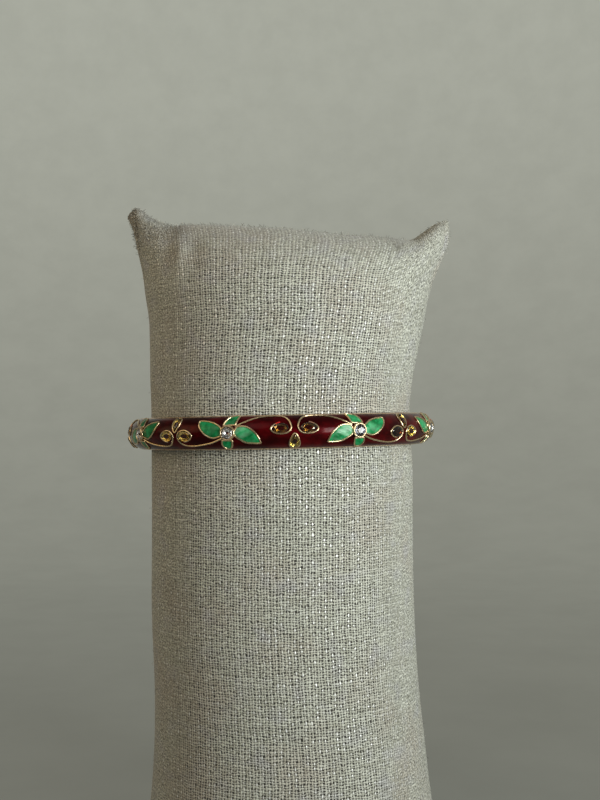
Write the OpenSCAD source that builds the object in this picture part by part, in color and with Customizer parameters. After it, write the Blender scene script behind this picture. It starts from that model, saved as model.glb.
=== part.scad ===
/* [Bangle band] */
// Outer diameter across the crown of the band
outer_d = 68; // [67:0.5:70]
// Height of the band from its lower to its upper edge
band_h = 6.8; // [6.7:0.1:6.9]
// Radius of the rounded outer face in cross-section
section_r = 3.5; // [3.5:0.05:3.6]
// Depth of the channel that the red enamel fills
enamel_t = 0.6; // [0.4:0.1:1]
// Half-angle of the enamelled face, seen from the centre of its arc
enamel_reach = 67; // [60:1:68]

/* [Gilt wires] */
// Width of the flat gilt wire
wire_w = 0.38; // [0.3:0.02:0.5]
// Height of the wires above the red enamel
wire_h = 0.3; // [0.2:0.05:0.4]
// Outer diameter of the setting in the middle of each flower
setting_d = 3.0; // [2.9:0.1:3.2]
// Height of that setting above the red enamel
setting_h = 0.6; // [0.5:0.05:0.8]

/* [Enamel and stones] */
// Height of the green enamel above the red enamel
petal_h = 0.2; // [0.1:0.05:0.25]
// Diameter of the clear round stones
clear_d = 2.4; // [2.2:0.1:2.4]
// Height of the clear stones' tables above the red enamel
clear_h = 0.9; // [0.8:0.05:1.1]
// Height of the amber stones' tables above the red enamel
amber_h = 0.5; // [0.45:0.05:0.7]
// Sides of each cut stone
stone_sides = 10; // [8:2:12]

/* [Layout] */
// Angle of the first flower from the front, positive to the right
first_flower = -18.1; // [-45:0.1:45]
// Angle between the first and the second flower, whose long tendrils face each other
front_step = 45; // [44:0.1:46]
// Angle between two flowers whose short tendrils face each other
short_step = 42.2; // [42:0.1:43]
// Lift of the bangle's right side as it sits on the pillow
tilt = 1.2; // [0:0.1:3]

/* [Display pillow] */
// Height of the bangle's middle above the foot of the pillow
bangle_z = 90; // [90:1:110]
// Gap between the pillow and the bangle at the front and back
seat_gap = 0.3; // [0.2:0.05:0.6]
// Sides of each section of the pillow
pillow_sides = 48; // [32:4:64]

/* [Hidden] */
flowers = 8;

// Circles are true round shapes, and this is only how finely they are drawn
$fn = 240;
// Small clearance between pieces that are set against each other
gap = 0.05;
// The straight facets of a stone's back clear the round band by less than this
stone_seat = 0.2;
degrees = 180 / PI;
surface_r = outer_d / 2;
arc_r = surface_r - section_r;
// The other long steps share what is left of the circle
back_step = (360 - front_step - short_step * flowers / 2) / (flowers / 2 - 1);
// The radial cuts of the ornament start inside the band and end well outside it
cut_from = arc_r - 4;
cut_depth = 14;
solder_fillet = 0.08;
// The ornament's skins keep to the outer side of the band's cross-section
skin_from = 0.6;
// Angle that the enamel stops short of each end of its channel
enamel_margin = 0.8;
// Heights of the stones' girdles, and how much of each outline its table takes
clear_girdle_h = 0.45;
amber_girdle_h = 0.28;
table_share = 0.55;
// How strongly a drop narrows to its tip, and how far its table sits from its middle
pear_taper = 0.42;
pear_table_shift = 0.25;

// Gold, enamel and stone colours
gilt = "#d8b98e";
oxblood = "#5a0812";
leaf_green = "#12955a";
clear = "#e8eef0";
amber = "#8a6a18";
linen = "#a9a695";

// Outlines on the band of one flower. Columns: along the band to the right, up the band.
petal_right = [
    [1.3, 0], [1.8, 1.0], [2.7, 1.2], [4.0, 1.0], [5.3, 0.2], [6.2, -0.95],
    [6.65, -2.15], [5.3, -2.15], [3.6, -1.95], [2.5, -1.3], [1.65, -0.75]
];
petal_left = [
    [-1.35, 0.2], [-1.5, 1.0], [-2.9, 1.95], [-4.7, 2.45], [-6.5, 2.6],
    [-6.7, 2.3], [-6.3, 0.9], [-4.8, -0.3], [-3.2, -0.95], [-1.35, -0.55]
];
petal_top = [
    [-0.95, 1.45], [-0.9, 1.9], [-0.5, 2.75], [0.2, 3.6], [1.3, 4.0],
    [2.2, 4.1], [2.1, 3.6], [1.85, 2.8], [1.55, 1.55]
];
petal_foot = [
    [-1.3, -1.45], [-1.5, -2.45], [-1.1, -3.3], [-0.3, -3.75],
    [0.3, -3.2], [0.65, -2.45], [0.85, -1.5]
];
// Tendrils, from the flower to the end of the curl, with the same columns
tendril_right = [
    [1.55, 1.2], [2.9, 1.9], [4.7, 2.75], [6.5, 3.5], [8.3, 3.67], [10.2, 3.63],
    [11.1, 3.5], [12.0, 2.7], [12.6, 1.5], [12.65, 0.75], [12.2, 0.05],
    [11.3, -0.25], [10.15, -0.25], [9.1, 0.05], [8.65, 0.4], [8.8, 0.9],
    [9.45, 1.5], [10.2, 1.83], [10.5, 1.9]
];
tendril_left = [
    [-1.25, -1.0], [-3.1, -1.75], [-4.6, -2.1], [-6.5, -2.45], [-8.5, -2.7],
    [-10.4, -2.45], [-11.4, -1.6], [-12.0, -0.5], [-11.2, 0.4], [-10.1, 0.65],
    [-9.0, 0.35], [-8.1, -0.4], [-8.85, -1.2], [-9.9, -1.6], [-10.3, -1.55]
];
// Stones inside the curls. Columns: along, up, half length, half height.
curl_stone_right = [10.6, 0.78, 1.42, 0.66];
curl_stone_left = [-10.08, -0.5, 1.38, 0.72];
// The drop of each trefoil: distance of its middle from the band's middle, half length, half width
drop_mid = 1.9;
drop_half_len = 1.65;
drop_half_w = 0.98;

// Sections of the pillow. Columns: height over the bangle's middle, left edge,
// right edge, half depth as a share of the depth at the bangle, and how far
// the section follows the curve of the top seam.
pillow_rows = [
    [-bangle_z, -28.4, 32.9, 0.93, 0],
    [-88.6, -29.4, 34.0, 0.97, 0],
    [-85, -29.5, 34.1, 0.99, 0],
    [-78, -28.8, 33.1, 1, 0],
    [-68, -28.3, 32.0, 1, 0],
    [-56, -28.3, 30.7, 1, 0],
    [-40, -29.0, 29.8, 1, 0],
    [-22, -29.0, 29.5, 1, 0],
    [-8, -29.1, 29.5, 1, 0],
    [4, -29.2, 28.8, 1, 0],
    [12, -29.5, 29.6, 0.985, 0],
    [19, -29.6, 31.0, 0.98, 0],
    [25, -29.9, 32.3, 0.955, 0.05],
    [30, -30.8, 33.3, 0.91, 0.15],
    [34.5, -31.5, 34.8, 0.83, 0.3],
    [38.5, -32.7, 36.8, 0.72, 0.5],
    [41.5, -33.5, 38.1, 0.58, 0.7],
    [44, -34.5, 38.15, 0.38, 0.9],
    [45.6, -35.0, 38.2, 0.04, 1]
];
// Top seam from ear to ear. Columns: across, height over the bangle's middle.
seam_rows = [
    [-35.0, 47.9], [-34.6, 49.2], [-33.6, 50.3], [-32.5, 50.5], [-31.3, 49.7],
    [-30.2, 48.6], [-28.5, 47.6], [-26.5, 46.8], [-24.6, 46.2], [-22.2, 46.6],
    [-15.5, 46.5], [-7.6, 45.9], [1.9, 45.3], [12.3, 44.2], [22.7, 43.7],
    [29.0, 43.3], [31.8, 44.9], [34.5, 46.8], [36.6, 47.7], [38.2, 47.8]
];
seam_level = 45.6;
// The part's origin is under the middle of its box, which the ears' tips bound
middle_x = (seam_rows[0][0] + seam_rows[len(seam_rows) - 1][0]) / 2;

function unit(a) = a / norm(a);
function mix(a, b, t) = a + (b - a) * t;
function wrap(i, n) = (i + n) % n;
// Angle from a flower to the next one
function step_after(i) = i == 1 ? front_step : i % 2 == 0 ? short_step : back_step;
function flower_angle(i) = i == 1 ? first_flower : flower_angle(i - 1) + step_after(i - 1);
// Every second flower is the mirror image of its neighbours
function hand(i) = i % 2 == 1 ? 1 : -1;

// A point of the ornament seen square on, from its place on the curved band
function seen(p) = let (
    turn = p[0] / surface_r * degrees,
    rise = p[1] / section_r * degrees
) [(arc_r + section_r * cos(rise)) * sin(turn), section_r * sin(rise)];
function seen_all(path) = [for (p = path) seen(p)];

// A point at a height over the band's face
function over(p, h) = let (
    turn = p[0] / surface_r * degrees,
    rise = p[1] / section_r * degrees,
    r = arc_r + (section_r + h) * cos(rise)
) [r * sin(turn), -r * cos(turn), (section_r + h) * sin(rise)];

// The same, but straight out from the band's axis, as the cell walls rise
function straight_out(p, h) = over(p, 0) - [0, h, 0];

// A point of a flat face that touches a height over the band at the middle m
function level(m, p, h) = let (
    turn = m[0] / surface_r * degrees,
    rise = m[1] / section_r * degrees,
    along = [cos(turn), sin(turn), 0],
    up = [-sin(rise) * sin(turn), sin(rise) * cos(turn), cos(rise)]
) over(m, h) + along * (p[0] - m[0]) + up * (p[1] - m[1]);

// Unit normals of an open line, for the two edges of a wire
function line_normal(path, i) = let (
    d = unit(path[min(i + 1, len(path) - 1)] - path[max(i - 1, 0)])
) [-d[1], d[0]];
function wire_outline(path) = concat(
    [for (i = [0 : len(path) - 1]) path[i] + line_normal(path, i) * wire_w / 2],
    [for (i = [len(path) - 1 : -1 : 0]) path[i] - line_normal(path, i) * wire_w / 2]
);

// A closed outline moved outwards by d, with mitred corners. It runs clockwise.
function edge_normal(path, i) = let (
    n = len(path),
    d = unit(path[wrap(i + 1, n)] - path[wrap(i, n)])
) [-d[1], d[0]];
function grown(path, d) = [
    for (i = [0 : len(path) - 1]) let (
        a = edge_normal(path, i - 1),
        b = edge_normal(path, i)
    ) path[i] + (a + b) * d / max(1 + a * b, 0.4)
];
function turned_over(path) = [for (i = [len(path) - 1 : -1 : 0]) path[i]];
// Twice the signed area, which is negative for a clockwise outline
function area2(path) = let (n = len(path)) [
    for (i = [0 : n - 1]) path[i][0] * path[wrap(i + 1, n)][1] - path[wrap(i + 1, n)][0] * path[i][1]
] * [for (i = [1 : n]) 1];
function clockwise(path) = area2(path) < 0 ? path : turned_over(path);

// A smooth line through the points
function spline(a, b, c, d, t) = 0.5 * (
    2 * b + (c - a) * t
    + (2 * a - 5 * b + 4 * c - d) * t * t
    + (3 * b - a - 3 * c + d) * t * t * t
);
function smooth(path) = let (n = len(path)) concat(
    [for (i = [0 : n - 2], t = [0, 0.5])
        spline(path[max(i - 1, 0)], path[i], path[i + 1], path[min(i + 2, n - 1)], t)],
    [path[n - 1]]
);

// Outlines of stones, all clockwise and seen from outside
function oval(m, half_len, half_h, sides) = [
    for (k = [0 : sides - 1]) let (a = -360 * k / sides)
        [m[0] + half_len * cos(a), m[1] + half_h * sin(a)]
];
// A pear outline whose tip points towards the band's middle; dir is 1 up or -1 down
function pear(dir, half_len, half_w, sides) = clockwise([
    for (k = [0 : sides - 1]) let (a = 360 * k / sides)
        [half_w * sin(a) * (1 - pear_taper * cos(a)), dir * (drop_mid - half_len * cos(a))]
]);

module gold() color(gilt) children();

// Places a piece of the bangle, which is drawn round its own middle
module on_pillow()
    translate([-middle_x, 0, bangle_z]) rotate([0, -tilt, 0]) children();

module at_flower(i)
    on_pillow() rotate([0, 0, flower_angle(i)]) mirror([hand(i) == 1 ? 0 : 1, 0, 0]) children();

// A trefoil lies half-way from its flower to the next
module at_trefoil(i)
    on_pillow() rotate([0, 0, flower_angle(i) + step_after(i) / 2]) children();

// Everything up to a height over the band's face
module up_to(h) rotate_extrude() translate([arc_r, 0]) circle(r = section_r + h);

// The skin of the band between two heights
module skin(low, high)
    rotate_extrude() intersection() {
        translate([arc_r, 0]) difference() {
            circle(r = section_r + high);
            circle(r = section_r + low);
        }
        translate([arc_r + skin_from, -band_h]) square([section_r * 2, band_h * 2]);
    }

// Cuts a flat drawing radially through the front of the band
module cut_through()
    rotate([90, 0, 0]) translate([0, 0, cut_from]) linear_extrude(cut_depth) children();

// Half of the band's cross-section that an angle either side of level takes in
module fan(reach)
    polygon([
        [0, 0],
        [2 * section_r * cos(reach), 2 * section_r * sin(reach)],
        [2 * section_r, 0],
        [2 * section_r * cos(reach), -2 * section_r * sin(reach)]
    ]);

// A layer of the band's face, as thick as from low to high
module layer(low, high, reach)
    intersection() {
        difference() {
            circle(r = section_r + high);
            circle(r = section_r + low);
        }
        fan(reach);
    }

module copper_ring()
    gold() on_pillow() rotate_extrude() translate([arc_r, 0]) difference() {
        intersection() {
            circle(r = section_r);
            translate([0, -band_h / 2]) square([section_r + 1, band_h]);
        }
        layer(-enamel_t, 1, enamel_reach);
    }

module red_enamel()
    color(oxblood) on_pillow() rotate_extrude() translate([arc_r, 0])
        layer(gap - enamel_t, 0, enamel_reach - enamel_margin);

module cell_wall(path)
    difference() {
        polygon(seen_all(grown(path, wire_w / 2)));
        polygon(seen_all(grown(path, -wire_w / 2)));
    }

module flower_drawing()
    offset(r = -solder_fillet, $fn = 12) offset(delta = solder_fillet) {
        for (p = [petal_right, petal_left, petal_top, petal_foot]) cell_wall(clockwise(p));
        for (t = [tendril_right, tendril_left]) polygon(seen_all(wire_outline(smooth(t))));
    }

// The round setting stands on the enamel and takes in the petals' bases
module setting()
    difference() {
        rotate([90, 0, 0]) translate([0, 0, surface_r - 1])
            linear_extrude(1 + setting_h) difference() {
                circle(d = setting_d);
                circle(d = clear_d + 2 * gap);
            }
        up_to(gap);
    }

module gilt_wires(i)
    gold() {
        at_flower(i) union() {
            intersection() {
                skin(gap, wire_h);
                cut_through() difference() {
                    flower_drawing();
                    circle(d = (setting_d + clear_d) / 2);
                }
            }
            setting();
        }
        at_trefoil(i) intersection() {
            skin(gap, wire_h);
            cut_through() cell_wall(pear(-hand(i), drop_half_len, drop_half_w, 20));
        }
    }

module green_petals(i)
    color(leaf_green) at_flower(i) intersection() {
        skin(gap, petal_h);
        cut_through() offset(r = solder_fillet, $fn = 12) offset(delta = -solder_fillet)
            difference() {
                for (p = [petal_right, petal_left, petal_top, petal_foot])
                    polygon(seen_all(grown(clockwise(p), -wire_w / 2 - gap)));
                circle(d = setting_d + 2 * gap);
            }
    }

// A cut stone: its back follows the band, its crown rises to a flat table
module cut_stone(middle, outline, girdle_h, table_h) {
    n = len(outline);
    table = [
        for (k = [0 : n - 1])
            mix(middle, (outline[k] + outline[wrap(k + 1, n)]) / 2, table_share)
    ];
    points = concat(
        [for (p = outline) straight_out(p, stone_seat)],
        [for (p = outline) straight_out(p, girdle_h)],
        [for (p = table) level(middle, p, table_h)],
        [straight_out(middle, stone_seat)]
    );
    faces = concat(
        [for (k = [0 : n - 1]) [3 * n, wrap(k + 1, n), k]],
        [for (k = [0 : n - 1]) [k, wrap(k + 1, n), n + k]],
        [for (k = [0 : n - 1]) [wrap(k + 1, n), n + wrap(k + 1, n), n + k]],
        [for (k = [0 : n - 1]) [n + k, n + wrap(k + 1, n), 2 * n + k]],
        [for (k = [0 : n - 1]) [n + wrap(k + 1, n), 2 * n + wrap(k + 1, n), 2 * n + k]],
        [[for (k = [0 : n - 1]) 2 * n + k]]
    );
    polyhedron(points, faces);
}

module clear_stone(i)
    color(clear) at_flower(i)
        cut_stone([0, 0], oval([0, 0], clear_d / 2, clear_d / 2, stone_sides), clear_girdle_h, clear_h);

module drop_stone(i)
    color(amber) at_trefoil(i)
        cut_stone(
            [0, -hand(i) * (drop_mid + pear_table_shift)],
            pear(-hand(i), drop_half_len - wire_w, drop_half_w - wire_w / 2 - gap, stone_sides),
            amber_girdle_h, amber_h
        );

// Two stones to each flower: odd numbers lie on its right before mirroring
module curl_stone(i) {
    row = i % 2 == 1 ? curl_stone_right : curl_stone_left;
    m = [row[0], row[1]];
    color(amber) at_flower(ceil(i / 2))
        cut_stone(m, oval(m, row[2], row[3], stone_sides), amber_girdle_h, amber_h);
}

// The stuffed pillow: oval sections up to the bangle, then pinched to the seam
module display_pillow() {
    n = pillow_sides;
    last = len(pillow_rows) - 1;
    half_depth = arc_r - seat_gap;
    points = [
        for (row = pillow_rows, k = [0 : n - 1]) let (
            a = 360 * k / n,
            x = (row[1] + row[2]) / 2 + (row[2] - row[1]) / 2 * cos(a),
            z = row[0] + row[4] * (lookup(x, seam_rows) - seam_level)
        ) [x - middle_x, row[3] * half_depth * sin(a), bangle_z + z]
    ];
    walls = [
        for (r = [0 : last - 1], k = [0 : n - 1]) let (
            a = r * n + k,
            b = r * n + wrap(k + 1, n)
        ) each [[a, b + n, b], [a, a + n, b + n]]
    ];
    foot = [[for (k = [0 : n - 1]) k]];
    top = last * n;
    seam = [
        for (k = [0 : n / 2 - 1]) let (
            a = top + k,
            b = top + k + 1,
            c = top + wrap(n - k, n),
            d = top + n - k - 1
        ) each (k == 0 ? [[a, d, b]] : k == n / 2 - 1 ? [[a, c, b]] : [[a, c, d], [a, d, b]])
    ];
    color(linen) polyhedron(points, concat(foot, walls, seam));
}

display_pillow();
copper_ring();
red_enamel();
for (i = [1 : flowers]) {
    gilt_wires(i);
    green_petals(i);
    clear_stone(i);
    drop_stone(i);
}
for (i = [1 : flowers * 2])
    curl_stone(i);
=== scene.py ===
# %% [markdown]
# # An enamelled copper bangle on a linen display pillow
# The real thing is a slim slip-on bangle: a copper band with a gilt finish, a channel full of deep
# red enamel, thin gilt wires soldered on it in flowers and curls, green enamel in the petals, and
# small foil-backed stones. A plump linen pillow stands upright inside it and holds it for sale.
# The imported CAD model gives every size. It is loaded first.

# %% Load the imported model
import math

import bmesh
import bpy
import numpy as np
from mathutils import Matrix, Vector


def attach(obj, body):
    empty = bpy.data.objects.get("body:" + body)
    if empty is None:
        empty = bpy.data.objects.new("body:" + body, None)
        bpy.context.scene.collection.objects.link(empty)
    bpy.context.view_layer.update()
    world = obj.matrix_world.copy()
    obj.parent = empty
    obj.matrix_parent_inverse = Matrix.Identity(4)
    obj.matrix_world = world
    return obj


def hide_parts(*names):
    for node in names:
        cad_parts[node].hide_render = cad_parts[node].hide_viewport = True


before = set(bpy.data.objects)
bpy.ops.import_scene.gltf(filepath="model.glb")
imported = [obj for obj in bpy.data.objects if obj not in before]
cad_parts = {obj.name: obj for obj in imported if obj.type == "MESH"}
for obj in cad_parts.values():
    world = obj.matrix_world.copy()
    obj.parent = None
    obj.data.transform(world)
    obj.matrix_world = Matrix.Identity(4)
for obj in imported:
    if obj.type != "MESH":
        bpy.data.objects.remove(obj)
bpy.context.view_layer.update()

# %% [markdown]
# ## The bangle's own measures
# Everything on the bangle is laid out along its face, as a jeweller would lay out a strip of paper:
# a distance along the band, a distance up it, and a height over the red enamel. These few numbers
# turn that strip into the round band. They repeat the values of the part's source.

# %% Sizes of the band, in metres
MM = 0.001
SECTION_R = 3.5 * MM
BAND_R = 30.5 * MM
FACE_R = BAND_R + SECTION_R
HALF_HEIGHT = 3.4 * MM
ENAMEL_REACH = math.radians(67)
FLOWERS = 8
FIRST_TURN, FRONT_STEP, SHORT_STEP = -18.1, 45.0, 42.2
TILT = math.radians(1.2)
BANGLE_AT = Vector((-1.6, 0, 90)) * MM
print(f"band: {2 * FACE_R / MM:.0f} mm across, {2 * HALF_HEIGHT / MM:.1f} mm high")

# %% [markdown]
# ## Camera
# A small product shot is taken from close by, almost level with the bangle. The bangle's middle
# lies left of and below the middle of the picture, so the camera is turned a little to the right of
# it and tipped up, and no lens shift is needed. The focal length came from how strongly the ends of
# the band curve away from the viewer.

# %% Set up the camera
VIEW_DISTANCE = 0.2448
VIEW_LIFT = math.radians(0.4)
TURN_RIGHT = math.radians(0.98)
TIP_UP = math.radians(1.23)


def show(name, data):
    """A new object in the scene."""
    made = bpy.data.objects.new(name, data)
    bpy.context.scene.collection.objects.link(made)
    return made


camera_data = bpy.data.cameras.new("camera")
camera_data.sensor_width = 36
camera_data.lens = 48.6
camera_data.clip_start = 0.01
camera = show("camera", camera_data)
camera.location = BANGLE_AT + VIEW_DISTANCE * Vector((0, -math.cos(VIEW_LIFT), math.sin(VIEW_LIFT)))
camera.rotation_euler = (math.radians(90) + TIP_UP, 0, -TURN_RIGHT)
bpy.context.scene.camera = camera
print("camera at", [round(v, 4) for v in camera.location])

# %% [markdown]
# ## Small helpers for building node trees
# Both the modifiers and the materials are node trees. Each node is made by a call that names its
# kind, its settings and what feeds its inputs, so a tree reads from top to bottom like a recipe.
# Only one tree is worked on at a time. It lies on the desk, and all calls add to it.

# %% Helpers for nodes
desk = {}
SOCKETS = {float: "Float", int: "Int", tuple: "Color"}


def link(source, target):
    """Joins an output to an input."""
    desk["tree"].links.new(source, target)


def add(kind, feeds=None, **settings):
    """Adds a node with its settings, and joins or sets each input that is named or numbered."""
    made = desk["tree"].nodes.new(kind)
    for key, value in settings.items():
        setattr(made, key, value)
    for key, value in (feeds or {}).items():
        if isinstance(value, bpy.types.NodeSocket):
            link(value, made.inputs[key])
        else:
            made.inputs[key].default_value = value
    return made


def geo(kind, feeds=None, **settings):
    """The first output of a new geometry node."""
    return add("GeometryNode" + kind, feeds, **settings).outputs[0]


def shade(kind, feeds=None, **settings):
    """The first output of a new shader node."""
    return add("ShaderNode" + kind, feeds, **settings).outputs[0]


def func(kind, feeds=None, **settings):
    """The first output of a new function node."""
    return add("FunctionNode" + kind, feeds, **settings).outputs[0]


def calc(operation, a, b=0.0, c=0.0):
    """One sum on numbers, such as COSINE or FLOOR. The commonest have short names of their own."""
    return shade("Math", {0: a, 1: b, 2: c}, operation=operation)


def mul(a, b):
    return calc("MULTIPLY", a, b)


def mul_add(a, b, c):
    return calc("MULTIPLY_ADD", a, b, c)


def plus(a, b):
    return calc("ADD", a, b)


def minus(a, b):
    return calc("SUBTRACT", a, b)


def div(a, b):
    return calc("DIVIDE", a, b)


def vec(operation, a, b):
    """One sum on vectors."""
    return shade("VectorMath", {0: a, 1: b}, operation=operation)


def vector(x, y, z):
    """A vector from three numbers."""
    return shade("CombineXYZ", {0: x, 1: y, 2: z})


def split(place):
    """The three numbers of a vector."""
    return add("ShaderNodeSeparateXYZ", {0: place}).outputs


def lerp(share, a, b):
    """A number between a and b."""
    return shade("Mix", {"Factor": share, "A": a, "B": b}, data_type="FLOAT")


def tint(share, a, b, how="MIX"):
    """A colour between a and b, or b laid over a in another way."""
    mixed = add("ShaderNodeMix", {0: share, 6: a, 7: b}, data_type="RGBA", blend_type=how)
    return mixed.outputs[2]


def ramp(value, low, high, to_low=0.0, to_high=1.0, shape="SMOOTHSTEP"):
    """Stretches low..high to to_low..to_high, smoothly or evenly, and without going past either end."""
    return shade("MapRange", {
        "Value": value, "From Min": low, "From Max": high, "To Min": to_low, "To Max": to_high,
    }, interpolation_type=shape)


def noise(where, scale, detail=2.0, roughness=0.5):
    """A smooth random pattern between 0 and 1."""
    return shade("TexNoise", {"Vector": where, "Scale": scale, "Detail": detail, "Roughness": roughness})


def own_place():
    """Where a point is on its own object."""
    return add("ShaderNodeTexCoord").outputs["Object"]


def mark_of(name):
    """The strength of a mark that the mesh carries."""
    return add("ShaderNodeAttribute", attribute_name=name).outputs["Fac"]


def read(name, kind):
    """A mark, in a geometry tree."""
    return geo("InputNamedAttribute", {"Name": name}, data_type=kind)


def write(geometry, name, value, kind, domain="POINT"):
    """Geometry with a mark stored on it."""
    return geo("StoreNamedAttribute", {
        "Geometry": geometry, "Name": name, "Value": value,
    }, data_type=kind, domain=domain)


def new_tree(name, kind, inputs, outputs):
    """Lays an empty node group on the desk. Each input is named with its default, or with its kind
    where it has none. Returns the group, its input node's outputs and its output node's inputs."""
    tree = desk["tree"] = bpy.data.node_groups.new(name, kind)
    for label, value in inputs.items():
        socket = value if isinstance(value, str) else SOCKETS[type(value)]
        made = tree.interface.new_socket(label, in_out="INPUT", socket_type="NodeSocket" + socket)
        if socket != value:
            made.default_value = value
    for label, socket in outputs.items():
        tree.interface.new_socket(label, in_out="OUTPUT", socket_type="NodeSocket" + socket)
    return tree, tree.nodes.new("NodeGroupInput").outputs, tree.nodes.new("NodeGroupOutput").inputs


def place_group(group, feeds, kind="ShaderNodeGroup"):
    """Puts a finished group into the tree, and returns what it gives."""
    return add(kind, feeds, node_tree=group).outputs


def finish(name, **values):
    """Lays a new material on the desk with the shader's plain values set. Returns the material and
    the shader's inputs."""
    made = bpy.data.materials.new(name)
    made.use_nodes = True
    desk["tree"] = made.node_tree
    bsdf = made.node_tree.nodes["Principled BSDF"].inputs
    for key, value in values.items():
        bsdf[key.replace("_", " ")].default_value = value
    return made, bsdf


print("helpers ready")

# %% [markdown]
# ## The studio
# The photo has a plain grey-green backdrop that gets a little darker towards the table. A round,
# bowl-shaped sweep does that from every side: a flat floor that curves up into a wall all round.
# Its paper glows a little, more so further out and higher up, as a lit room would make it, and
# less in front and on the left, where the room was dim: that side of the pillow is in shade.
# It is open at the top, so the sky's even light falls in. The main light is one soft box to the
# right of the camera, a little over the bangle's height. It lights the right of the pillow and
# leaves the left in shade. Its reflection falls mostly on the right flower, and the red enamel
# shows only its left edge.
# Two weak fills come from the left, a high one, so that the pillow darkens from its shoulders down
# to its foot, and a warm one.

# %% Build the sweep
FLOOR_R, CURVE_R, WALL_TOP = 0.42, 0.55, 1.3


def weld(mesh, distance, turn_faces=False):
    """Joins points that lie on each other, and turns the faces outwards where that is asked for."""
    made = bmesh.new()
    made.from_mesh(mesh)
    bmesh.ops.remove_doubles(made, verts=made.verts, dist=distance)
    if turn_faces:
        bmesh.ops.recalc_face_normals(made, faces=made.faces)
    made.to_mesh(mesh)
    made.free()


def lathe(name, profile, steps):
    """Turns a profile of (radius, height) points round the upright axis into a mesh."""
    verts, faces = [], []
    for r, z in profile:
        for k in range(steps):
            a = 2 * math.pi * k / steps
            verts.append((r * math.cos(a), r * math.sin(a), z))
    for low in range(0, (len(profile) - 1) * steps, steps):
        for k in range(steps):
            after = (k + 1) % steps
            faces.append((low + k, low + after, low + steps + after, low + steps + k))
    mesh = bpy.data.meshes.new(name)
    mesh.from_pydata(verts, [], faces)
    weld(mesh, 1e-6)
    mesh.shade_smooth()
    return mesh


sweep_profile = [(0.0, 0.0), (0.12, 0.0), (FLOOR_R, 0.0)]
sweep_profile += [
    (FLOOR_R + CURVE_R * math.sin(a), CURVE_R * (1 - math.cos(a)))
    for a in np.radians(np.linspace(6, 90, 15))
]
sweep_profile.append((FLOOR_R + CURVE_R, WALL_TOP))
sweep = show("sweep", lathe("sweep", sweep_profile, 96))

paper, bsdf = finish("sweep_paper", Roughness=0.9, Specular_IOR_Level=0.1, Emission_Strength=1.0)
spot = own_place()
flat_spot = vec("MULTIPLY", spot, (1, 1, 0))
radius = add("ShaderNodeVectorMath", {0: flat_spot}, operation="LENGTH").outputs["Value"]
across, away, height = split(spot)[:3]
grain = noise(spot, 14.0, 3.0)
paper_colour = tint(ramp(grain, 0.3, 0.7), (0.096, 0.098, 0.088, 1), (0.108, 0.110, 0.100, 1))
link(paper_colour, bsdf["Base Color"])
outwards = ramp(radius, 0.0, FLOOR_R + CURVE_R, shape="LINEAR")
glow = tint(outwards, (0.119, 0.122, 0.104, 1), (0.292, 0.298, 0.255, 1))
glow = tint(ramp(height, 0.06, 0.6), glow, (0.362, 0.372, 0.320, 1))
window_side = ramp(mul_add(across, 0.6, away), -0.6, -0.05)
lit = mul(window_side, ramp(across, -0.65, -0.36))
glow = tint(lit, (0.065, 0.063, 0.052, 1), glow)
mottle = ramp(noise(spot, 30.0, 4.0, 0.65), 0.25, 0.75, 0.965, 1.035)
link(tint(1.0, glow, mottle, "MULTIPLY"), bsdf["Emission Color"])
sweep.data.materials.append(paper)
print(f"sweep: floor {2 * FLOOR_R:.2f} m across, wall {WALL_TOP:.2f} m high")

# %% Lights and sky
def soft_box(name, turn, lift, distance, wide, tall, power, colour, aim=0.03, spread=120):
    """A soft box: turn is to the right of the camera, lift is above the bangle. It is aimed at a
    place that far above the bangle's middle, and gives less light sideways, as a deep box does."""
    light = bpy.data.lights.new(name, "AREA")
    light.shape, light.size, light.size_y = "RECTANGLE", wide, tall
    light.energy, light.color, light.spread = power, colour, math.radians(spread)
    lamp = show(name, light)
    a, e = math.radians(turn), math.radians(lift)
    away = Vector((math.sin(a) * math.cos(e), -math.cos(a) * math.cos(e), math.sin(e))) * distance
    lamp.location = BANGLE_AT + away
    lamp.rotation_euler = (away - Vector((0, 0, aim))).to_track_quat("Z", "Y").to_euler()
    lamp.visible_camera = False


soft_box("window", 43, 6, 0.42, 0.2, 0.2, 0.378, (0.95, 1.0, 0.97), aim=0.045, spread=78)
soft_box("high_fill", -35, 42, 0.45, 0.35, 0.35, 0.062, (1.0, 0.92, 0.80), aim=0.05, spread=60)
soft_box("warm_fill", -80, 25, 0.4, 0.3, 0.3, 0.052, (1.0, 0.74, 0.40), aim=0.05, spread=60)

sky = bpy.data.worlds.new("sky")
sky.use_nodes = True
air = sky.node_tree.nodes["Background"].inputs
air["Color"].default_value, air["Strength"].default_value = (1.0, 0.97, 0.90, 1), 0.18
bpy.context.scene.world = sky
bpy.context.scene.view_settings.view_transform = "Standard"

# %% [markdown]
# ## Effects that several finishes share
# Two small groups carry the detail. Polish marks are the fine cloudy rubbing on gilt metal. The
# glaze group gives an enamel its uneven depth of colour and the slight waviness of a ground and
# polished surface. Each is built once, and every material that uses it sets its own values.

# %% Shader group: polish marks
polish_marks, given, out = new_tree("Polish marks", "ShaderNodeTree", {
    "Grain size": 0.0006, "Roughness": 0.2, "Depth": 0.3,
}, {"Tone": "Float", "Roughness": "Float", "Normal": "Vector"})
where = own_place()
per_metre = div(1.0, given["Grain size"])
cloud = noise(where, per_metre, 3.0)
fine = noise(where, mul(per_metre, 4.3), 2.0, 0.6)
link(ramp(cloud, 0.3, 0.7), out["Tone"])
link(mul(given["Roughness"], ramp(cloud, 0.3, 0.7, 0.7, 1.6)), out["Roughness"])
bump = shade("Bump", {
    "Strength": given["Depth"], "Distance": 0.00005, "Height": plus(cloud, fine),
})
link(bump, out["Normal"])
print("group:", polish_marks.name)

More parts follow.
